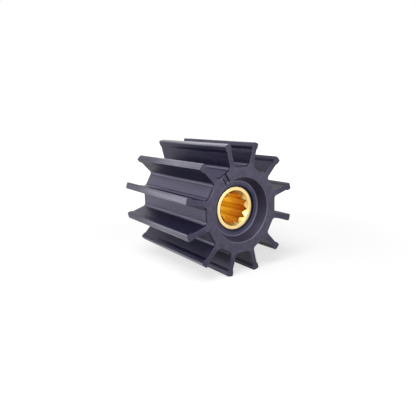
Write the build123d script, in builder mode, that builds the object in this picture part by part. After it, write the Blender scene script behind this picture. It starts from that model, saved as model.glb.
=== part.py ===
from build123d import *
import math
import os

# Rubber pump impeller: a one-piece moulded rubber body with twelve vanes, bonded to a brass bush with a
# splined bore. Millimetres. The axis of rotation lies along Y, the notched end face looks towards -Y, +Z is
# up and the origin is on the axis at mid-width. It lies on its side, on the tips of its two lowest vanes.

# Overall sizes
outer_diameter = 95.0
body_width = 88.8
vane_count = 12

# Hub: a flat valley between each two vanes
valley_radius = 30.5
root_fillet = 2.5

# Vane section, from the root out to the bead along its tip
root_thickness = 4.5
neck_thickness = 3.5
flare_length = 2.0
bead_height = 3.2
bead_width = 5.1
bead_corner = 1.05
flare_blend = 1.2

# Dished recess in each end face, with a stepped well around the end of the bush
recess_mouth_radius = 23.1
recess_floor_radius = 20.0
recess_depth = 7.7
lip_round = 1.1
floor_round = 0.9
well_clearance = 1.2
well_step_round = 0.4

# Brass bush, set back from both end faces
bush_radius = 15.35
bush_setback = 8.9
bush_proud = 0.3
bush_edge_chamfer = 0.25
spline_teeth = 12
spline_root_radius = 12.2
spline_tip_radius = 10.4
spline_land = 1.2
spline_turn = 18.5
mouth_chamfer_margin = 0.75

# Radial notch across the front end face, in the valley to the left of the top one
notch_width = 2.9
notch_depth = 1.3
notch_valley = 1
notch_overrun = 1.0

tip_radius = outer_diameter / 2
half_width = body_width / 2
vane_pitch = 360 / vane_count
top_valley_angle = 90.0
half_bead = bead_width / 2
flare_start = tip_radius - bead_height - flare_length
bead_start = tip_radius - bead_height
bead_edge = math.sqrt(tip_radius**2 - half_bead**2)
bush_length = body_width - 2 * bush_setback
well_radius = bush_radius + well_clearance
well_depth = bush_setback + bush_proud

os.makedirs("parts", exist_ok=True)

# One vane, drawn along +X: straight tapered flanks, a flare, and a bead that ends on the tip circle
with BuildSketch() as vane_section:
    with BuildLine():
        Polyline(
            (0, root_thickness / 2),
            (valley_radius, root_thickness / 2),
            (flare_start, neck_thickness / 2),
            (bead_start, half_bead),
            (bead_edge, half_bead),
        )
        ThreePointArc((bead_edge, half_bead), (tip_radius, 0), (bead_edge, -half_bead))
        Polyline(
            (bead_edge, -half_bead),
            (bead_start, -half_bead),
            (flare_start, -neck_thickness / 2),
            (valley_radius, -root_thickness / 2),
            (0, -root_thickness / 2),
            (0, root_thickness / 2),
        )
    make_face()
    corners = vane_section.vertices().group_by(Axis.X)
    fillet(corners[-1], radius=bead_corner)
    fillet(corners[-2], radius=flare_blend)
    fillet(corners[-3], radius=flare_blend)

# The rubber body: hub and vanes in one extrusion, hollowed by one turned profile
with BuildPart() as rubber_body:
    with BuildSketch(Plane.XZ) as body_section:
        RegularPolygon(valley_radius, vane_count, major_radius=False, rotation=vane_pitch / 2)
        with PolarLocations(0, vane_count, start_angle=vane_pitch / 2):
            add(vane_section.sketch)
        root_corners = body_section.vertices().filter_by(
            lambda corner: abs(math.hypot(corner.X, corner.Y) - valley_radius) < root_fillet
        )
        fillet(root_corners, radius=root_fillet)
    extrude(amount=half_width, both=True)

    with BuildSketch(Plane.XY):
        with BuildLine():
            hollow_side = Polyline(
                (0, -half_width),
                (recess_mouth_radius, -half_width),
                (recess_floor_radius, -half_width + recess_depth),
                (well_radius, -half_width + recess_depth),
                (well_radius, -half_width + well_depth),
                (bush_radius, -half_width + well_depth),
                (bush_radius, 0),
            )
            mirror(hollow_side, about=Plane.XZ)
            Line((0, -half_width), (0, half_width))
        make_face()
    revolve(axis=Axis.Y, mode=Mode.SUBTRACT)

    rings = rubber_body.edges().filter_by(GeomType.CIRCLE)
    mouth_rings = rings.filter_by(lambda ring: abs(ring.radius - recess_mouth_radius) < 0.01)
    floor_rings = rings.filter_by(lambda ring: abs(ring.radius - recess_floor_radius) < 0.01)
    step_rings = rings.filter_by(
        lambda ring: abs(ring.radius - well_radius) < 0.01
        and abs(abs(ring.center().Y) - (half_width - recess_depth)) < 0.01
    )
    fillet(mouth_rings, radius=lip_round)
    fillet(floor_rings, radius=floor_round)
    fillet(step_rings, radius=well_step_round)

    # Notch from the recess out to the valley floor
    notch_start = recess_floor_radius
    notch_end = valley_radius + notch_overrun
    with BuildSketch(Plane.XZ.offset(half_width)):
        with PolarLocations(
            (notch_start + notch_end) / 2, 1, start_angle=top_valley_angle + notch_valley * vane_pitch
        ):
            Rectangle(notch_end - notch_start, notch_width)
    extrude(amount=-notch_depth, mode=Mode.SUBTRACT)

rubber_body.part.label = "rubber_body"
export_step(rubber_body.part, "parts/rubber_body.step")

# The brass bush: a plain sleeve outside, a serrated spline inside, coned at both mouths
spline_pitch = 360 / spline_teeth
tooth_half_angle = math.degrees(math.asin(spline_land / 2 / spline_tip_radius))
mouth_radius = spline_root_radius + mouth_chamfer_margin
mouth_cone_depth = mouth_radius - spline_tip_radius + mouth_chamfer_margin


def on_circle(radius, angle):
    """Point at an angle in degrees on a circle about the axis."""
    return (radius * math.cos(math.radians(angle)), radius * math.sin(math.radians(angle)))


with BuildPart() as splined_bush:
    with BuildSketch(Plane.XZ):
        Circle(bush_radius)
    extrude(amount=bush_length / 2, both=True)
    face_rims = splined_bush.edges().filter_by(GeomType.CIRCLE)
    chamfer(face_rims, length=bush_edge_chamfer)

    with BuildSketch(Plane.XZ):
        with BuildLine():
            outline = []
            for tooth in range(spline_teeth):
                root_angle = spline_turn + tooth * spline_pitch
                tooth_angle = root_angle + spline_pitch / 2
                outline.append(on_circle(spline_root_radius, root_angle))
                outline.append(on_circle(spline_tip_radius, tooth_angle - tooth_half_angle))
                outline.append(on_circle(spline_tip_radius, tooth_angle + tooth_half_angle))
            Polyline(outline, close=True)
        make_face()
    extrude(amount=bush_length / 2, both=True, mode=Mode.SUBTRACT)

    with BuildSketch(Plane.XY):
        with BuildLine():
            mouth_end = Polyline(
                (0, -bush_length / 2),
                (mouth_radius, -bush_length / 2),
                (mouth_radius - mouth_cone_depth, -bush_length / 2 + mouth_cone_depth),
                (0, -bush_length / 2 + mouth_cone_depth),
                close=True,
            )
            mirror(mouth_end, about=Plane.XZ)
        make_face()
    revolve(axis=Axis.Y, mode=Mode.SUBTRACT)

splined_bush.part.label = "splined_bush"
export_step(splined_bush.part, "parts/splined_bush.step")
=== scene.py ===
import math

import bmesh
import bpy
from mathutils import Matrix, Vector


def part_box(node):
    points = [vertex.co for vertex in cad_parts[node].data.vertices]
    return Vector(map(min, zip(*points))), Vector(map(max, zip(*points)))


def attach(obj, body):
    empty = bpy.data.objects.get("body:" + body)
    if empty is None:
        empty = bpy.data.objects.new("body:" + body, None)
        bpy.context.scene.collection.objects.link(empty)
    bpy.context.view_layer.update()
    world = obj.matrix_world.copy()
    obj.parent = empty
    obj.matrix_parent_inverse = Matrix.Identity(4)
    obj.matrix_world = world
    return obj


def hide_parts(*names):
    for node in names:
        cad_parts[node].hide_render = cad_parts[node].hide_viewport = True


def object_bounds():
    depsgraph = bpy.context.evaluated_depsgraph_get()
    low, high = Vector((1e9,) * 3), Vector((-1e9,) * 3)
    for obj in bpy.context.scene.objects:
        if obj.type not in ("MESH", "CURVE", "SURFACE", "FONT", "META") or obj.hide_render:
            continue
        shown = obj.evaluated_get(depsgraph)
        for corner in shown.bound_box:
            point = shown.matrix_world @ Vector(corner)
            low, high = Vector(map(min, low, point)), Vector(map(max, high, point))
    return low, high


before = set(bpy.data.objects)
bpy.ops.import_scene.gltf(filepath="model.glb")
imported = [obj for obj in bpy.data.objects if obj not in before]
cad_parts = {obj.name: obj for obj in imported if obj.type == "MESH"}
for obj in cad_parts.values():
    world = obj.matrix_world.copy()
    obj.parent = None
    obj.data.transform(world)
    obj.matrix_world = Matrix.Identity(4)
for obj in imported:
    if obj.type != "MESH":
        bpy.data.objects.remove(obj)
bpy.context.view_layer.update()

# Rubber pump impeller: a moulded rubber body with twelve straight vanes, on a brass bush with a
# splined bore. Sizes are in millimetres, and each finished mesh is brought to metres. The axis of
# rotation lies along Y, and the notched end face looks towards -Y. A clock angle runs from +Z
# towards +X, as seen from the front.

MM = 0.001
BODY_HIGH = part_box("rubber_body")[1]
BUSH_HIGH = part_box("splined_bush")[1]

# The rubber body: hub, valleys, and vanes that end in a bead
HALF_WIDTH = BODY_HIGH[1] / MM
VANE_COUNT = 12
VANE_PITCH = 2 * math.pi / VANE_COUNT
FIRST_VANE = VANE_PITCH / 2
TIP_RADIUS = 47.5
VALLEY_RADIUS = 30.5
ROOT_FILLET = 2.5
ROOT_THICKNESS = 4.5
NECK_THICKNESS = 3.5
FLARE_LENGTH = 2.0
FLARE_BLEND = 1.2
BEAD_WIDTH = 5.1
BEAD_HEIGHT = 3.2
BEAD_ROUND = 1.0
BEAD_FULLNESS = 2.8

# The rounding of the edges round the end faces, which tightens a little above the valleys
VALLEY_EDGE_ROUND = 0.7
VANE_EDGE_ROUND = 0.22
EDGE_CHANGE_START = VALLEY_RADIUS + 1.0
EDGE_CHANGE_LENGTH = 3.0

# The scatter of the moulding: one vane's tip leans clockwise, and all of them sway along their
# length. Vane 0 is the first one to the right of the top
LEANING_VANE = 2
LEAN = 0.3
SWAY = 0.25
SWAY_SCALE = 28.0
SWAY_SEED = 4.0
BEND_START = VALLEY_RADIUS + 1.5
BEND_POWER = 1.4

# The dished recess in each end face, with its well round the bush
MOUTH_RADIUS = 23.1
FLOOR_RADIUS = 20.0
RECESS_DEPTH = 7.7
LIP_ROUND = 1.1
FLOOR_ROUND = 0.9
WELL_CLEARANCE = 1.2
WELL_STEP_ROUND = 0.4
WELL_FOOT_ROUND = 0.25
BUSH_PROUD = 0.3

# The radial notch across the front end face, and the score line beside it
NOTCH_CLOCK = -VANE_PITCH
NOTCH_WIDTH = 2.9
NOTCH_DEPTH = 1.3
NOTCH_ROUND = 0.3
NOTCH_START = 19.0
NOTCH_END = 33.0
SCORE_START = 22.0
SCORE_END = 28.9
SCORE_MIDDLE = -2.4
SCORE_WIDTH = 1.0
SCORE_DEPTH = 0.9

# The brass bush and its spline
BUSH_RADIUS = BUSH_HIGH[0] / MM
BUSH_HALF = BUSH_HIGH[1] / MM
WELL_RADIUS = BUSH_RADIUS + WELL_CLEARANCE
TOOTH_COUNT = 12
TOOTH_PITCH = 2 * math.pi / TOOTH_COUNT
FIRST_ROOT = math.radians(11.5)
ROOT_RADIUS = 12.2
LAND_RADIUS = 10.4
LAND_WIDTH = 1.2
CONE_RADIUS = ROOT_RADIUS + 0.75
BUSH_EDGE_ROUND = 0.25
TOOTH_ROUND = 0.22
TOOTH_END_ROUND = 0.25
BORE_LIMIT = ROOT_RADIUS + 0.1
BORE_FADE = 0.5

# How finely the shapes are divided
ARC_STEPS = 5
RECESS_ARC_STEPS = 6
BEAD_STEPS = 9
EDGE_STEPS = 5
LENGTH_STEPS = 16
LATHE_STEPS = 15
HOLD = 0.12
HOLD_SHARE = 0.25
MERGE_DISTANCE = 0.002


def clamped(value):
    """The value, kept between nothing and one."""
    return min(max(value, 0), 1)


def at_clock(angle, radius, y):
    """A place at a clock angle, at a radius from the axis."""
    return (radius * math.sin(angle), y, radius * math.cos(angle))


def with_holds(start, finish):
    """A straight stretch with a point close to each end, which keeps its shading flat."""
    share = min(HOLD / (finish - start).length, HOLD_SHARE)
    return [start, start.lerp(finish, share), start.lerp(finish, 1 - share), finish]


def rounded_path(corners, arc_steps=ARC_STEPS):
    """Points along straight stretches, with an arc at each inner (a, b, radius) corner."""
    path = [Vector(corners[0][:2])]
    for before, corner, after in zip(corners, corners[1:], corners[2:]):
        point = Vector(corner[:2])
        radius = corner[2]
        back = (Vector(before[:2]) - point).normalized()
        ahead = (Vector(after[:2]) - point).normalized()
        half_angle = back.angle(ahead) / 2
        tangent = radius / math.tan(half_angle)
        centre = point + (back + ahead).normalized() * radius / math.sin(half_angle)
        start = point + back * tangent - centre
        finish = point + ahead * tangent - centre
        shares = [step / arc_steps for step in range(arc_steps + 1)]
        arc = [centre + start.slerp(finish, share).normalized() * radius for share in shares]
        path += with_holds(path.pop(), arc[0]) + arc[1:]
    return path + with_holds(path.pop(), Vector(corners[-1][:2]))


def from_first_arc(path):
    """A rounded path without the straight stretch before its first arc."""
    return path[3:]


def mirrored(points):
    """Points in reverse order, on the other side of the first axis."""
    return [Vector((point.x, -point.y)) for point in reversed(points)]


def bead_end():
    """The rounded outer end of a bead, from its middle to its side, on a superellipse."""
    end = []
    for step in range(BEAD_STEPS):
        angle = math.pi / 2 * step / BEAD_STEPS
        across = BEAD_WIDTH / 2 * math.sin(angle) ** (2 / BEAD_FULLNESS)
        fall = BEAD_ROUND * (1 - math.cos(angle) ** (2 / BEAD_FULLNESS))
        end.append(Vector((TIP_RADIUS - fall, across)))
    return end


def vane_outline():
    """A vane and half a valley on each side, as (outwards, across) points from left to right."""
    cos_half = math.cos(VANE_PITCH / 2)
    sin_half = math.sin(VANE_PITCH / 2)
    bead_foot = TIP_RADIUS - BEAD_HEIGHT
    neck = bead_foot - FLARE_LENGTH
    # The root is where the tapered flank, drawn on towards the axis, meets the flat of the valley
    taper = (ROOT_THICKNESS - NECK_THICKNESS) / 2 / (neck - VALLEY_RADIUS)
    flank_at_axis = ROOT_THICKNESS / 2 + taper * VALLEY_RADIUS
    root = (VALLEY_RADIUS - flank_at_axis * sin_half) / (cos_half - taper * sin_half)
    side = rounded_path([
        (TIP_RADIUS - BEAD_ROUND, BEAD_WIDTH / 2),
        (bead_foot, BEAD_WIDTH / 2, FLARE_BLEND),
        (neck, NECK_THICKNESS / 2, FLARE_BLEND),
        (root, flank_at_axis - taper * root, ROOT_FILLET),
        (VALLEY_RADIUS * cos_half, VALLEY_RADIUS * sin_half),
    ])
    right = bead_end() + side
    return mirrored(right[1:]) + right


def outward_normals(outline):
    """The outward normal at each point of an open outline that runs from left to right."""
    normals = []
    for index, point in enumerate(outline):
        before = outline[max(index - 1, 0)]
        after = outline[min(index + 1, len(outline) - 1)]
        along = (after - point).normalized() + (point - before).normalized()
        normals.append(Vector((along.y, -along.x)).normalized())
    return normals


def edge_round(point):
    """The rounding of the edge round an end face, at a point of the outline."""
    share = clamped((point.length - EDGE_CHANGE_START) / EDGE_CHANGE_LENGTH)
    return VALLEY_EDGE_ROUND + (VANE_EDGE_ROUND - VALLEY_EDGE_ROUND) * share


def recess_profile():
    """The inside of the body from the front end face to mid-width, as (radius, y) points."""
    floor = RECESS_DEPTH - HALF_WIDTH
    foot = BUSH_PROUD - BUSH_HALF
    return rounded_path([
        (MOUTH_RADIUS + 2 * LIP_ROUND, -HALF_WIDTH),
        (MOUTH_RADIUS, -HALF_WIDTH, LIP_ROUND),
        (FLOOR_RADIUS, floor, FLOOR_ROUND),
        (WELL_RADIUS, floor, WELL_STEP_ROUND),
        (WELL_RADIUS, foot, WELL_FOOT_ROUND),
        (BUSH_RADIUS, foot, WELL_FOOT_ROUND),
        (BUSH_RADIUS, 0),
    ], RECESS_ARC_STEPS)


def join_rows(bm, rows):
    """Quads between each two neighbouring rows of vertices."""
    for row, next_row in zip(rows, rows[1:]):
        for index in range(len(row) - 1):
            bm.faces.new((row[index], row[index + 1], next_row[index + 1], next_row[index]))


def vane_sector():
    """A thirty-degree sector of the rubber body, with its vane upright."""
    outline = vane_outline()
    normals = outward_normals(outline)
    bm = bmesh.new()

    def outer_row(along, turn=0.0):
        """A row across the outline, at a share of the half width. Its turn round the edge goes
        from nothing on the sides of the body to a quarter on its end faces."""
        row = []
        for point, normal in zip(outline, normals):
            edge = edge_round(point)
            inset = point - normal * edge * (1 - math.cos(turn))
            reach = HALF_WIDTH - edge * (1 - math.sin(turn))
            row.append(bm.verts.new((inset.y, along * reach, inset.x)))
        return row

    turns = [math.pi / 2 * step / EDGE_STEPS for step in range(EDGE_STEPS + 1)]
    outer = [outer_row(-1, turn) for turn in reversed(turns)]
    outer += [outer_row(2 * step / LENGTH_STEPS - 1) for step in range(1, LENGTH_STEPS)]
    outer += [outer_row(1, turn) for turn in turns]
    join_rows(bm, outer)

    front_half = recess_profile()
    angles = [VANE_PITCH * (step / LATHE_STEPS - 0.5) for step in range(LATHE_STEPS + 1)]
    inner = []
    for point in front_half + mirrored(front_half[:-1]):
        inner.append([bm.verts.new(at_clock(angle, point.x, point.y)) for angle in angles])
    join_rows(bm, list(reversed(inner)))
    bm.faces.new(inner[0] + list(reversed(outer[0])))
    bm.faces.new(outer[-1] + list(reversed(inner[-1])))
    return mesh_object("vane_sector", bm)


def add_cut(bm, section, start, finish):
    """Adds a closed bar along the notch, between two radii, from its (across, rise) section."""
    outwards = Vector(at_clock(NOTCH_CLOCK, 1, 0))
    across = Vector(at_clock(NOTCH_CLOCK + math.pi / 2, 1, 0))
    rows = []
    for radius in (start, finish):
        row = []
        for aside, rise in section:
            level = Vector((0, -HALF_WIDTH - rise, 0))
            row.append(bm.verts.new(outwards * radius + across * aside + level))
        rows.append(row + [row[0]])
    join_rows(bm, rows)
    bm.faces.new(rows[0][:-1])
    bm.faces.new(rows[1][:-1])


def notch_cutter():
    """What is cut from the front end face: a channel with rounded shoulders, and a score line."""
    half = NOTCH_WIDTH / 2
    shoulder = 0.6
    notch_lift = 2.0
    score_lift = 0.2
    side = from_first_arc(rounded_path([
        (half + NOTCH_ROUND + shoulder, 0),
        (half, 0, NOTCH_ROUND),
        (half, -NOTCH_DEPTH, NOTCH_ROUND),
        (0, -NOTCH_DEPTH),
    ]))[:-1]
    right = [Vector((side[0].x, notch_lift))] + side
    left = [Vector((-point.x, point.y)) for point in reversed(right)]
    bm = bmesh.new()
    add_cut(bm, right + left, NOTCH_START, NOTCH_END)
    add_cut(bm, (
        (SCORE_MIDDLE - SCORE_WIDTH / 2, score_lift),
        (SCORE_MIDDLE + SCORE_WIDTH / 2, score_lift),
        (SCORE_MIDDLE, -SCORE_DEPTH),
    ), SCORE_START, SCORE_END)
    bmesh.ops.recalc_face_normals(bm, faces=bm.faces)
    return mesh_object("notch_cutter", bm)


def bush_sector():
    """A thirty-degree sector of the bush, with one root of the spline upright in its middle."""
    half_turn = TOOTH_PITCH / 2
    land = Vector((math.sin(half_turn), math.cos(half_turn))) * LAND_RADIUS
    corner = land + Vector((-math.cos(half_turn), math.sin(half_turn))) * LAND_WIDTH / 2
    section = rounded_path([
        (-land.x, land.y),
        (-corner.x, corner.y, TOOTH_ROUND),
        (0, ROOT_RADIUS, TOOTH_ROUND),
        (corner.x, corner.y, TOOTH_ROUND),
        (land.x, land.y),
    ])
    bm = bmesh.new()
    bore_mark = bm.verts.layers.float.new("bore")
    columns = []
    for point in section:
        angle = math.atan2(point.x, point.y)
        radius = point.length
        front_half = from_first_arc(rounded_path([
            (BUSH_RADIUS, 0),
            (BUSH_RADIUS, -BUSH_HALF, BUSH_EDGE_ROUND),
            (CONE_RADIUS, -BUSH_HALF, BUSH_EDGE_ROUND),
            (radius, -BUSH_HALF + CONE_RADIUS - radius, TOOTH_END_ROUND),
            (radius, -BUSH_HALF / 3),
        ]))
        column = []
        for place in front_half + mirrored(front_half):
            vertex = bm.verts.new(at_clock(angle, place.x, place.y))
            beyond_cone = BUSH_HALF - abs(place.y) + radius - CONE_RADIUS
            inside = place.x < BORE_LIMIT
            vertex[bore_mark] = clamped(beyond_cone / BORE_FADE) if inside else 0.0
            column.append(vertex)
        columns.append(column + [column[0]])
    join_rows(bm, columns)
    return mesh_object("bush_sector", bm)


def mesh_object(name, bm):
    """An object made from the given mesh data, brought from millimetres to metres."""
    mesh = bpy.data.meshes.new(name)
    bm.to_mesh(mesh)
    bm.free()
    mesh.transform(Matrix.Scale(MM, 4))
    return placed(name, mesh)


def placed(name, data):
    """A new object in the scene, with the given data."""
    item = bpy.data.objects.new(name, data)
    bpy.context.scene.collection.objects.link(item)
    return item


class Wiring:
    """Adds nodes to a tree and wires them, so that a tree reads from its inputs to its output."""

    def __init__(self, tree):
        self.tree = tree

    def add(self, kind, inputs=None, **settings):
        """A new node with the given settings, and each named or numbered input wired or set."""
        node = self.tree.nodes.new(kind)
        for setting, value in settings.items():
            setattr(node, setting, value)
        for socket, value in (inputs or {}).items():
            self.feed(node.inputs[socket], value)
        return node

    def feed(self, socket, value):
        """Wires a socket to another one, or sets it to a value."""
        if isinstance(value, bpy.types.NodeSocket):
            self.tree.links.new(value, socket)
        else:
            socket.default_value = value

    def maths(self, operation, first, second=0.0, clamp=False):
        """The result of one sum on two values."""
        inputs = {0: first, 1: second}
        return self.add("ShaderNodeMath", inputs, operation=operation, use_clamp=clamp).outputs[0]

    def vector(self, operation, first, second=(0, 0, 0)):
        """The vector that one sum on two vectors gives."""
        inputs = {0: first, 1: second}
        return self.add("ShaderNodeVectorMath", inputs, operation=operation).outputs["Vector"]

    def length(self, vector):
        """The length of a vector."""
        return self.add("ShaderNodeVectorMath", {0: vector}, operation="LENGTH").outputs["Value"]

    def noise(self, vector, scale, detail, **settings):
        """Soft noise over a surface."""
        inputs = {"Vector": vector, "Scale": scale, "Detail": detail}
        return self.add("ShaderNodeTexNoise", inputs, **settings)

    def spread(self, value, low, high):
        """Goes evenly from low to high while the given value goes from nothing to one."""
        inputs = {"Value": value, "To Min": low, "To Max": high}
        return self.add("ShaderNodeMapRange", inputs).outputs["Result"]

    def ramp(self, value, start, finish, low=0.0, high=1.0):
        """Goes smoothly from low to high while the given value goes from start to finish."""
        return self.add("ShaderNodeMapRange", {
            "Value": value, "From Min": start, "From Max": finish, "To Min": low, "To Max": high,
        }, interpolation_type="SMOOTHSTEP").outputs["Result"]

    def band(self, value, start, finish, fade):
        """One between start and finish, and nothing beyond the fade on either side of them."""
        rise = self.ramp(value, start - fade, start)
        return self.maths("MULTIPLY", rise, self.ramp(value, finish + fade, finish))

    def between(self, factor, first, second):
        """A value between two values."""
        return self.add("ShaderNodeMix", {"Factor": factor, "A": first, "B": second}).outputs[0]

    def mixed(self, factor, first, second):
        """A colour between two colours."""
        inputs = {"Factor": factor, "A": first, "B": second}
        return self.add("ShaderNodeMix", inputs, data_type="RGBA").outputs[2]

    def bumped(self, height, strength, depth, normal=None):
        """A normal that follows a height, up to a depth in millimetres, on top of another."""
        bump = self.add("ShaderNodeBump", {
            "Height": height, "Strength": strength, "Distance": depth * MM,
        })
        if normal is not None:
            self.feed(bump.inputs["Normal"], normal)
        return bump.outputs[0]


# The kinds of socket that the groups have most
NUMBER = "NodeSocketFloat"
VECTOR = "NodeSocketVector"
GEOMETRY = "NodeSocketGeometry"


def new_tree(name, kind, inputs, outputs):
    """An empty node group with the given (name, type, default) inputs and (name, type) outputs."""
    tree = bpy.data.node_groups.new(name, kind)
    for title, socket_type, default in inputs:
        socket = tree.interface.new_socket(title, in_out="INPUT", socket_type=socket_type)
        if default is not None:
            socket.default_value = default
    for title, socket_type in outputs:
        tree.interface.new_socket(title, in_out="OUTPUT", socket_type=socket_type)
    wiring = Wiring(tree)
    given = wiring.add("NodeGroupInput").outputs
    return tree, wiring, given, wiring.add("NodeGroupOutput").inputs


def ring_tree(name):
    """Geometry nodes that repeat a sector round the axis, bend its vanes and cut a shape away."""
    tree, wiring, given, result = new_tree(name, "GeometryNodeTree", [
        ("Places", GEOMETRY, None),
        ("Sector", "NodeSocketObject", None),
        ("First Angle", NUMBER, 0.0),
        ("Pitch", NUMBER, 0.5),
        ("Bend Start", NUMBER, 0.03),
        ("Bend End", NUMBER, 0.05),
        ("Sway", NUMBER, 0.0),
        ("Sway Seed", NUMBER, 0.0),
        ("Cutter", "NodeSocketObject", None),
        ("Material", "NodeSocketMaterial", None),
    ], [("Ring", GEOMETRY)])

    sector = wiring.add("GeometryNodeObjectInfo", {
        "Object": given["Sector"],
    }, transform_space="ORIGINAL").outputs["Geometry"]
    index = wiring.add("GeometryNodeInputIndex").outputs[0]
    angle = wiring.maths("ADD", wiring.maths("MULTIPLY", index, given["Pitch"]),
                         given["First Angle"])
    turn = wiring.add("ShaderNodeCombineXYZ", {"Y": angle}).outputs[0]
    ring = wiring.add("GeometryNodeInstanceOnPoints", {
        "Points": given["Places"], "Instance": sector, "Rotation": turn,
    }).outputs["Instances"]
    ring = wiring.add("GeometryNodeRealizeInstances", {"Geometry": ring}).outputs[0]

    # Each vane moves sideways, more and more towards its tip, by its lean and the sway
    place = wiring.add("GeometryNodeInputPosition").outputs[0]
    radial = wiring.vector("MULTIPLY", place, (1, 0, 1))
    sideways = wiring.vector("NORMALIZE", wiring.vector("CROSS_PRODUCT", (0, 1, 0), radial))
    rise = wiring.add("ShaderNodeMapRange", {
        "Value": wiring.length(radial),
        "From Min": given["Bend Start"], "From Max": given["Bend End"],
    }).outputs["Result"]
    lean = wiring.add("GeometryNodeInputNamedAttribute", {
        "Name": "lean",
    }, data_type="FLOAT").outputs["Attribute"]
    wave = wiring.noise(place, SWAY_SCALE, 0.0, noise_dimensions="4D")
    wiring.feed(wave.inputs["W"], given["Sway Seed"])
    sway = wiring.maths("MULTIPLY", wiring.maths("SUBTRACT", wave.outputs[0], 0.5), given["Sway"])
    shift = wiring.maths("MULTIPLY", wiring.maths("ADD", lean, sway),
                         wiring.maths("POWER", rise, BEND_POWER))
    offset = wiring.add("ShaderNodeVectorMath", {0: sideways, "Scale": shift}, operation="SCALE")
    ring = wiring.add("GeometryNodeSetPosition", {
        "Geometry": ring, "Offset": offset.outputs[0],
    }).outputs[0]
    ring = wiring.add("GeometryNodeMergeByDistance", {
        "Geometry": ring, "Distance": MERGE_DISTANCE * MM,
    }).outputs[0]

    cutter = wiring.add("GeometryNodeObjectInfo", {
        "Object": given["Cutter"],
    }, transform_space="ORIGINAL").outputs["Geometry"]
    ring = wiring.add("GeometryNodeMeshBoolean", {
        "Mesh 1": ring, "Mesh 2": cutter,
    }, operation="DIFFERENCE", solver="EXACT").outputs["Mesh"]
    ring = wiring.add("GeometryNodeRealizeInstances", {"Geometry": ring}).outputs[0]
    ring = wiring.add("GeometryNodeSetMaterial", {
        "Geometry": ring, "Material": given["Material"],
    }).outputs[0]
    wiring.feed(result["Ring"], ring)
    return tree


def ring_of(name, leans, settings, sharp_angle):
    """A closed ring of equal sectors about the axis, one for each lean, as one plain mesh."""
    mesh = bpy.data.meshes.new(name)
    mesh.from_pydata([(0, 0, 0)] * len(leans), [], [])
    lean_layer = mesh.attributes.new("lean", "FLOAT", "POINT")
    for entry, lean in zip(lean_layer.data, leans):
        entry.value = lean * MM
    source = placed(name + "_places", mesh)
    tree = ring_tree(name + "_ring")
    modifier = source.modifiers.new("ring", "NODES")
    modifier.node_group = tree
    for item in tree.interface.items_tree:
        if item.in_out == "INPUT" and item.name in settings:
            modifier[item.identifier] = settings[item.name]
    depsgraph = bpy.context.evaluated_depsgraph_get()
    finished = bpy.data.meshes.new_from_object(source.evaluated_get(depsgraph))
    source.modifiers.clear()
    bpy.data.objects.remove(source)

    bm = bmesh.new()
    bm.from_mesh(finished)
    bmesh.ops.recalc_face_normals(bm, faces=bm.faces)
    for face in bm.faces:
        face.smooth = True
        face.material_index = 0
    bm.to_mesh(finished)
    bm.free()
    finished.materials.clear()
    finished.materials.append(settings["Material"])
    finished.set_sharp_from_angle(angle=math.radians(sharp_angle))
    piece = placed(name, finished)
    weighted = piece.modifiers.new("flat faces", "WEIGHTED_NORMAL")
    weighted.keep_sharp = True
    return piece


def drop(*helpers):
    """Removes objects that only served to make a piece."""
    for helper in helpers:
        bpy.data.objects.remove(helper)


def new_material(name):
    """A material with an empty tree, its wiring and its output."""
    material = bpy.data.materials.new(name)
    material.use_nodes = True
    material.node_tree.nodes.clear()
    wiring = Wiring(material.node_tree)
    return material, wiring, wiring.add("ShaderNodeOutputMaterial")


def mottle_group():
    """Soft patches and fine grain over a surface, used by the rubber and the brass."""
    tree, wiring, given, result = new_tree("mottle", "ShaderNodeTree", [
        ("Vector", VECTOR, None),
        ("Patch Scale", NUMBER, 100.0),
        ("Grain Scale", NUMBER, 2000.0),
    ], [("Patches", NUMBER), ("Grain", NUMBER)])
    patches = wiring.noise(given["Vector"], given["Patch Scale"], 4.0)
    patches.inputs["Roughness"].default_value = 0.55
    contrast = wiring.add("ShaderNodeMapRange", {
        "Value": patches.outputs[0], "From Min": 0.3, "From Max": 0.7,
    })
    grain = wiring.noise(given["Vector"], given["Grain Scale"], 2.0)
    wiring.feed(result["Patches"], contrast.outputs["Result"])
    wiring.feed(result["Grain"], grain.outputs[0])
    return tree


def places_group():
    """Where a point lies, in millimetres: its radius from the axis, how far along it is from
    mid-width, and how far back from mid-width."""
    tree, wiring, given, result = new_tree("places", "ShaderNodeTree", [
        ("Vector", VECTOR, None),
    ], [("Radius", NUMBER), ("Along", NUMBER), ("Back", NUMBER)])
    radius = wiring.length(wiring.vector("MULTIPLY", given["Vector"], (1, 0, 1)))
    y = wiring.add("ShaderNodeSeparateXYZ", {0: given["Vector"]}).outputs["Y"]
    back = wiring.maths("DIVIDE", y, MM)
    wiring.feed(result["Radius"], wiring.maths("DIVIDE", radius, MM))
    wiring.feed(result["Along"], wiring.maths("ABSOLUTE", back))
    wiring.feed(result["Back"], back)
    return tree


def drawn_group():
    """Soft waves and streaks that run along the axis, as moulding and broaching leave them."""
    tree, wiring, given, result = new_tree("drawn", "ShaderNodeTree", [
        ("Vector", VECTOR, None),
        ("Wave Scale", NUMBER, 100.0),
        ("Streak Scale", NUMBER, 700.0),
    ], [("Waves", NUMBER), ("Streaks", NUMBER)])
    for mark, scale, squeeze in (("Waves", "Wave Scale", 0.3), ("Streaks", "Streak Scale", 0.04)):
        squeezed = wiring.vector("MULTIPLY", given["Vector"], (1, squeeze, 1))
        wiring.feed(result[mark], wiring.noise(squeezed, given[scale], 2.0).outputs[0])
    return tree


MOTTLE = mottle_group()
PLACES = places_group()
DRAWN = drawn_group()

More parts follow.
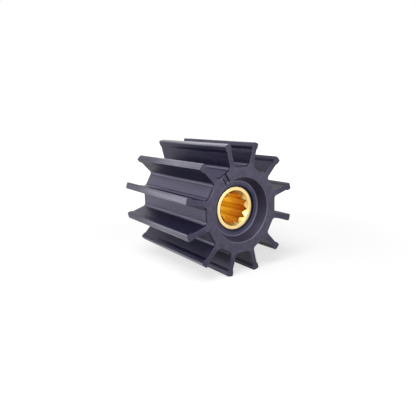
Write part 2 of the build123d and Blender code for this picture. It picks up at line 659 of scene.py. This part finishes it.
# Where each shade of the rubber sets in and is full, in millimetres, and the bands with their fade
END_FACE_ZONE = (HALF_WIDTH - 0.16, HALF_WIDTH - 0.04)
OUTER_SHADE_ZONE = (VALLEY_RADIUS, VALLEY_RADIUS + 5.0)
VALLEY_ZONE = (VALLEY_RADIUS + 2.0, VALLEY_RADIUS + 1.2)
FILLET_HIGHLIGHT_ZONE = (VALLEY_RADIUS + 0.45, VALLEY_RADIUS + 0.8)
PAINTED_LINE_BAND = (VALLEY_RADIUS + 0.28, VALLEY_RADIUS + 0.38, 0.1)
VALLEY_END_ZONE = (HALF_WIDTH - 2.4, HALF_WIDTH - 1.2)
TIP_ZONE = (TIP_RADIUS - 1.1, TIP_RADIUS - 0.3)
TIP_BACK_SHADE_ZONE = (-8.0, 30.0)
RECESS_ZONE = (MOUTH_RADIUS + 0.6, MOUTH_RADIUS - 0.2)
LIP_BAND = (MOUTH_RADIUS - 0.1, MOUTH_RADIUS + 0.7, 0.25)
FOOT_BAND = (FLOOR_RADIUS - 0.6, FLOOR_RADIUS, 0.3)
WELL_ZONE = (WELL_RADIUS + 1.0, WELL_RADIUS + 0.2)

# The shades of the rubber, many of them painted light and shade, as their names say. Each pair is
# mottled or streaked, or changes across the fillet, from the first to the second
# Painted shade: the flanks are made deep black, where shade falls between the vanes
FLANK_PAINTED_SHADES = ((0.003, 0.002, 0.013, 1), (0.006, 0.005, 0.020, 1))
GROUND_SHADES = ((0.027, 0.024, 0.040, 1), (0.047, 0.043, 0.065, 1))
# Painted shade, which darkens the end faces of the vanes outwards
GROUND_OUTER_PAINTED_SHADE = (0.006, 0.005, 0.015, 1)
# A painted highlight on the tips of the beads, in streaks, with painted shade towards their back
TIP_PAINTED_HIGHLIGHTS = ((0.020, 0.019, 0.038, 1), (0.190, 0.186, 0.222, 1))
TIP_BACK_PAINTED_SHADE = (0.016, 0.015, 0.030, 1)
# Painted light on the valley floors, brighter in the fillets as a painted highlight, a painted dark
# line of shade beside each fillet, and painted shade at the ends of the valleys
VALLEY_PAINTED_LIGHT_SHADES = ((0.055, 0.051, 0.086, 1), (0.092, 0.086, 0.132, 1))
VALLEY_PAINTED_LINE_SHADE = (0.008, 0.007, 0.018, 1)
VALLEY_END_PAINTED_SHADE = (0.001, 0.001, 0.006, 1)
# Painted shade on the wall of the recess, painted highlights on its lip and foot, and painted shade
# in the well round the bush
RECESS_PAINTED_SHADE = (0.023, 0.021, 0.042, 1)
RECESS_EDGE_PAINTED_HIGHLIGHT = (0.080, 0.076, 0.110, 1)
WELL_PAINTED_SHADE = (0.002, 0.002, 0.010, 1)

# How rough the rubber is, and the strength and depth, in millimetres, of what marks its surface
MOULDED_ROUGHNESS = (0.37, 0.43)
GROUND_ROUGHNESS = (0.28, 0.34)
TIP_ROUGHNESS = 0.34
FLANK_ROUGHER = 0.07
GRAIN_BUMP = (0.3, 0.03)
STREAK_BUMP = (0.5, 0.06)
WAVE_BUMP = (0.6, 0.6)


def end_face_colour(wiring, place, patches):
    """A ground end face, with painted shade that darkens it outwards along the vanes."""
    outer = wiring.ramp(place["Radius"], *OUTER_SHADE_ZONE, 0.0, 0.5)
    return wiring.mixed(outer, wiring.mixed(patches, *GROUND_SHADES), GROUND_OUTER_PAINTED_SHADE)


def tip_colour(wiring, place, streaks):
    """The tip of a bead, with a painted highlight in streaks at the front and painted shade towards
    the back.
    """
    back_shade = wiring.ramp(place["Back"], *TIP_BACK_SHADE_ZONE)
    return wiring.mixed(back_shade, wiring.mixed(streaks, *TIP_PAINTED_HIGHLIGHTS), TIP_BACK_PAINTED_SHADE)


def valley_colour(wiring, place):
    """A valley in painted light, with a painted highlight in its fillets, a painted dark line of
    shade beside each and a band of painted shade at each end.
    """
    fillet = wiring.ramp(place["Radius"], *FILLET_HIGHLIGHT_ZONE)
    painted_line = wiring.band(place["Radius"], *PAINTED_LINE_BAND)
    end = wiring.ramp(place["Along"], *VALLEY_END_ZONE)
    colour = wiring.mixed(painted_line, wiring.mixed(fillet, *VALLEY_PAINTED_LIGHT_SHADES), VALLEY_PAINTED_LINE_SHADE)
    return wiring.mixed(end, colour, VALLEY_END_PAINTED_SHADE)


def with_recess(wiring, place, colour):
    """The given colour outside, and in the recess painted shade on its wall, painted highlights on
    its two edges, and painted shade in its well.
    """
    radius = place["Radius"]
    edges = wiring.maths("MAXIMUM", wiring.band(radius, *LIP_BAND), wiring.band(radius, *FOOT_BAND))
    colour = wiring.mixed(wiring.ramp(radius, *RECESS_ZONE), colour, RECESS_PAINTED_SHADE)
    colour = wiring.mixed(edges, colour, RECESS_EDGE_PAINTED_HIGHLIGHT)
    return wiring.mixed(wiring.ramp(radius, *WELL_ZONE), colour, WELL_PAINTED_SHADE)


def satin_rubber():
    """Satin black rubber with a faint violet cast, ground on the end faces. Its colour carries
    painted light:
    a painted highlight on the tips of the beads, and painted shade that makes the flanks deep black
    between the vanes."""
    material, wiring, output = new_material("satin_rubber")
    coordinates = wiring.add("ShaderNodeTexCoord").outputs["Object"]
    mottle = wiring.add("ShaderNodeGroup", {
        "Vector": coordinates, "Patch Scale": 300.0, "Grain Scale": 2600.0,
    }, node_tree=MOTTLE).outputs
    drawn = wiring.add("ShaderNodeGroup", {
        "Vector": coordinates, "Wave Scale": 120.0, "Streak Scale": 900.0,
    }, node_tree=DRAWN).outputs
    place = wiring.add("ShaderNodeGroup", {"Vector": coordinates}, node_tree=PLACES).outputs
    patches = mottle["Patches"]
    end_face = wiring.ramp(place["Along"], *END_FACE_ZONE)
    moulded = wiring.maths("SUBTRACT", 1.0, end_face)
    valley = wiring.ramp(place["Radius"], *VALLEY_ZONE)
    tip = wiring.ramp(place["Radius"], *TIP_ZONE)
    flank = wiring.maths("SUBTRACT", wiring.maths("SUBTRACT", 1.0, valley), tip, clamp=True)

    # The flanks first, in painted shade
    colour = wiring.mixed(patches, *FLANK_PAINTED_SHADES)
    colour = wiring.mixed(valley, colour, valley_colour(wiring, place))
    colour = wiring.mixed(tip, colour, tip_colour(wiring, place, drawn["Streaks"]))
    colour = with_recess(wiring, place, colour)
    colour = wiring.mixed(end_face, colour, end_face_colour(wiring, place, patches))

    satin = wiring.spread(patches, *MOULDED_ROUGHNESS)
    satin = wiring.maths("ADD", satin, wiring.maths("MULTIPLY", flank, FLANK_ROUGHER))
    satin = wiring.between(tip, satin, TIP_ROUGHNESS)
    ground = wiring.spread(patches, *GROUND_ROUGHNESS)

    normal = wiring.bumped(mottle["Grain"], *GRAIN_BUMP)
    streaks = wiring.maths("MULTIPLY", drawn["Streaks"], moulded)
    normal = wiring.bumped(streaks, *STREAK_BUMP, normal)
    waves = wiring.maths("MULTIPLY", drawn["Waves"], moulded)
    normal = wiring.bumped(waves, *WAVE_BUMP, normal)
    shader = wiring.add("ShaderNodeBsdfPrincipled", {
        "Base Color": colour, "Roughness": wiring.between(end_face, satin, ground),
        "Normal": normal, "Specular IOR Level": 0.38, "Specular Tint": (0.76, 0.73, 1.0, 1),
    })
    wiring.feed(output.inputs["Surface"], shader.outputs[0])
    return material


# The brass: its zones, in millimetres, its shades, how its streaks darken, and its tool marks
CONE_ZONE = (CONE_RADIUS + 0.1, CONE_RADIUS - 0.2)
BORE_DEPTH_ZONE = (BUSH_HALF - 5.0, BUSH_HALF / 3)
FACE_SHADES = ((0.66, 0.48, 0.215, 1), (0.75, 0.56, 0.27, 1))
CONE_SHADE = (0.74, 0.50, 0.17, 1)
# Painted light and reflection in the bore: more orange near the mouth and yellower deep inside,
# where the brass mirrors itself
BORE_PAINTED_LIGHT_SHADES = ((0.92, 0.52, 0.30, 1), (1.0, 0.82, 0.24, 1))
STREAK_SHADE = (0.50, 0.20, 0.06, 1)
STREAK_FADE = (0.46, 0.3, 0.0, 0.65)
TURNING_SCALE = 6.0
TURNING_BUMP = (0.3, 0.03)


def turned_brass():
    """Brass, turned on its faces and broached along its bore, with painted light that changes with
    depth in the bore.
    """
    material, wiring, output = new_material("turned_brass")
    coordinates = wiring.add("ShaderNodeTexCoord").outputs["Object"]
    patches = wiring.add("ShaderNodeGroup", {
        "Vector": coordinates, "Patch Scale": 300.0,
    }, node_tree=MOTTLE).outputs["Patches"]
    streaks = wiring.add("ShaderNodeGroup", {
        "Vector": coordinates, "Streak Scale": 1500.0,
    }, node_tree=DRAWN).outputs["Streaks"]
    place = wiring.add("ShaderNodeGroup", {"Vector": coordinates}, node_tree=PLACES).outputs
    bore = wiring.add("ShaderNodeAttribute", attribute_name="bore").outputs["Fac"]

    face = wiring.mixed(patches, *FACE_SHADES)
    face = wiring.mixed(wiring.ramp(place["Radius"], *CONE_ZONE), face, CONE_SHADE)
    inside = wiring.mixed(wiring.ramp(place["Along"], *BORE_DEPTH_ZONE), *BORE_PAINTED_LIGHT_SHADES)
    inside = wiring.mixed(wiring.ramp(streaks, *STREAK_FADE), inside, STREAK_SHADE)

    turning = wiring.add("ShaderNodeCombineXYZ", {"X": place["Radius"]}).outputs[0]
    turning = wiring.noise(turning, TURNING_SCALE, 3.0).outputs[0]
    marks = wiring.between(bore, turning, streaks)
    shader = wiring.add("ShaderNodeBsdfPrincipled", {
        "Base Color": wiring.mixed(bore, face, inside), "Metallic": 1.0, "Roughness": 0.3,
        "Normal": wiring.bumped(marks, *TURNING_BUMP), "Specular Tint": (1.0, 0.82, 0.5, 1),
    })
    wiring.feed(output.inputs["Surface"], shader.outputs[0])
    return material


def make_rubber_body():
    """The moulded body, with the notch cut across its front end face."""
    sector = vane_sector()
    cutter = notch_cutter()
    leans = [LEAN if vane == LEANING_VANE else 0.0 for vane in range(VANE_COUNT)]
    body = ring_of("moulded_rubber_body", leans, {
        "Sector": sector,
        "First Angle": FIRST_VANE,
        "Pitch": VANE_PITCH,
        "Bend Start": BEND_START * MM,
        "Bend End": TIP_RADIUS * MM,
        "Sway": SWAY * MM,
        "Sway Seed": SWAY_SEED,
        "Cutter": cutter,
        "Material": satin_rubber(),
    }, sharp_angle=40)
    drop(sector, cutter)
    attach(body, "root")
    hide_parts("rubber_body")


def make_bush():
    """The brass bush with its splined bore."""
    sector = bush_sector()
    bush = ring_of("turned_brass_bush", [0.0] * TOOTH_COUNT, {
        "Sector": sector,
        "First Angle": FIRST_ROOT,
        "Pitch": TOOTH_PITCH,
        "Material": turned_brass(),
    }, sharp_angle=50)
    drop(sector)
    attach(bush, "root")
    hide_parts("splined_bush")


# The camera: where it stands, in millimetres, which way it looks, in degrees, and its lens
CAMERA_PLACE = Vector((-189.5, -274.28, 66.47))
CAMERA_AZIMUTH = -34.858
CAMERA_ELEVATION = 12.212
CAMERA_ROLL = -1.479
PIXELS_ACROSS = 416
FOCAL_PIXELS = 438.3
SENSOR_WIDTH = 36.0

# The studio, in metres: a floor that is white as the camera sees it, and a white room
FLOOR_REACH = 6.0
FLOOR_SHADE = 0.33
FLOOR_GLOW_ZONE = (0.12, 0.5)
FLOOR_GLOW = (0.66, 1.0)
ROOM_FILL = 0.1

# The soft lamps: each has its azimuth from the front towards +X and its elevation, in degrees,
# its size in metres, and how many times brighter than white it is
LAMP_DISTANCE = 1.2
LAMPS = (
    ("front_lamp", 14, 5, 0.4, 24.0),
    ("glint_lamp", -41, 23, 0.15, 32.0),
    ("upper_left_lamp", -60, 60, 0.7, 8.2),
    ("left_lamp", -93, 16, 0.7, 2.8),
    ("back_left_lamp", -130, 9, 0.4, 11.0),
    ("back_lamp", 158, 30, 0.5, 1.0),
)


def aimed(azimuth, elevation):
    """The turn of a camera or lamp that looks at the impeller from a direction in degrees."""
    turn = Matrix.Rotation(math.radians(azimuth), 4, "Z")
    return turn @ Matrix.Rotation(math.radians(90 - elevation), 4, "X")


def make_camera():
    """The camera, at the photograph's place."""
    data = bpy.data.cameras.new("camera")
    data.sensor_width = SENSOR_WIDTH
    data.lens = FOCAL_PIXELS / PIXELS_ACROSS * SENSOR_WIDTH
    data.clip_start = 0.01
    data.clip_end = 50.0
    camera = placed("camera", data)
    roll = Matrix.Rotation(math.radians(CAMERA_ROLL), 4, "Z")
    turn = aimed(CAMERA_AZIMUTH, CAMERA_ELEVATION) @ roll
    camera.matrix_world = Matrix.Translation(CAMERA_PLACE * MM) @ turn
    bpy.context.scene.camera = camera


def seen_or_mirrored(wiring):
    """One for what the camera sees, also in a reflection, and nothing for other light."""
    ray = wiring.add("ShaderNodeLightPath").outputs
    reflected = wiring.maths("MAXIMUM", ray["Is Glossy Ray"], ray["Is Transmission Ray"])
    return wiring.maths("MAXIMUM", ray["Is Camera Ray"], reflected)


def make_floor():
    """A wide white floor under the impeller's two lowest vanes."""
    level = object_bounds()[0][2]
    corners = [(-1, -1), (1, -1), (1, 1), (-1, 1)]
    places = [(x * FLOOR_REACH, y * FLOOR_REACH, level) for x, y in corners]
    mesh = bpy.data.meshes.new("floor")
    mesh.from_pydata(places, [], [(0, 1, 2, 3)])
    material, wiring, output = new_material("white_floor")
    matt = wiring.add("ShaderNodeBsdfDiffuse", {"Color": (FLOOR_SHADE,) * 3 + (1,)})
    distance = wiring.length(wiring.add("ShaderNodeTexCoord").outputs["Object"])
    strength = wiring.ramp(distance, *FLOOR_GLOW_ZONE, *FLOOR_GLOW)
    glow = wiring.add("ShaderNodeEmission", {"Color": (1, 1, 1, 1), "Strength": strength})
    lift = wiring.add("ShaderNodeMixShader", {0: seen_or_mirrored(wiring), 2: glow.outputs[0]})
    both = wiring.add("ShaderNodeAddShader", {0: matt.outputs[0], 1: lift.outputs[0]})
    wiring.feed(output.inputs["Surface"], both.outputs[0])
    mesh.materials.append(material)
    floor = placed("floor", mesh)


def make_world():
    """A white room, which fills the shadows only faintly."""
    world = bpy.data.worlds.new("studio")
    world.use_nodes = True
    bpy.context.scene.world = world
    world.node_tree.nodes.clear()
    wiring = Wiring(world.node_tree)
    strength = wiring.spread(seen_or_mirrored(wiring), ROOM_FILL, 1.0)
    white = wiring.add("ShaderNodeBackground", {"Color": (1, 1, 1, 1), "Strength": strength})
    output = wiring.add("ShaderNodeOutputWorld")
    wiring.feed(output.inputs["Surface"], white.outputs[0])


def make_lamp(name, azimuth, elevation, size, brightness):
    """A square soft lamp that faces the impeller, as many times brighter than white as given."""
    data = bpy.data.lights.new(name, "AREA")
    data.size = size
    data.energy = brightness * math.pi * size * size
    lamp = placed(name, data)
    outwards = Matrix.Translation((0, 0, LAMP_DISTANCE))
    lamp.matrix_world = aimed(azimuth, elevation) @ outwards


make_rubber_body()
make_bush()
make_camera()
make_floor()
make_world()
for lamp in LAMPS:
    make_lamp(*lamp)
bpy.context.scene.view_settings.view_transform = "Standard"
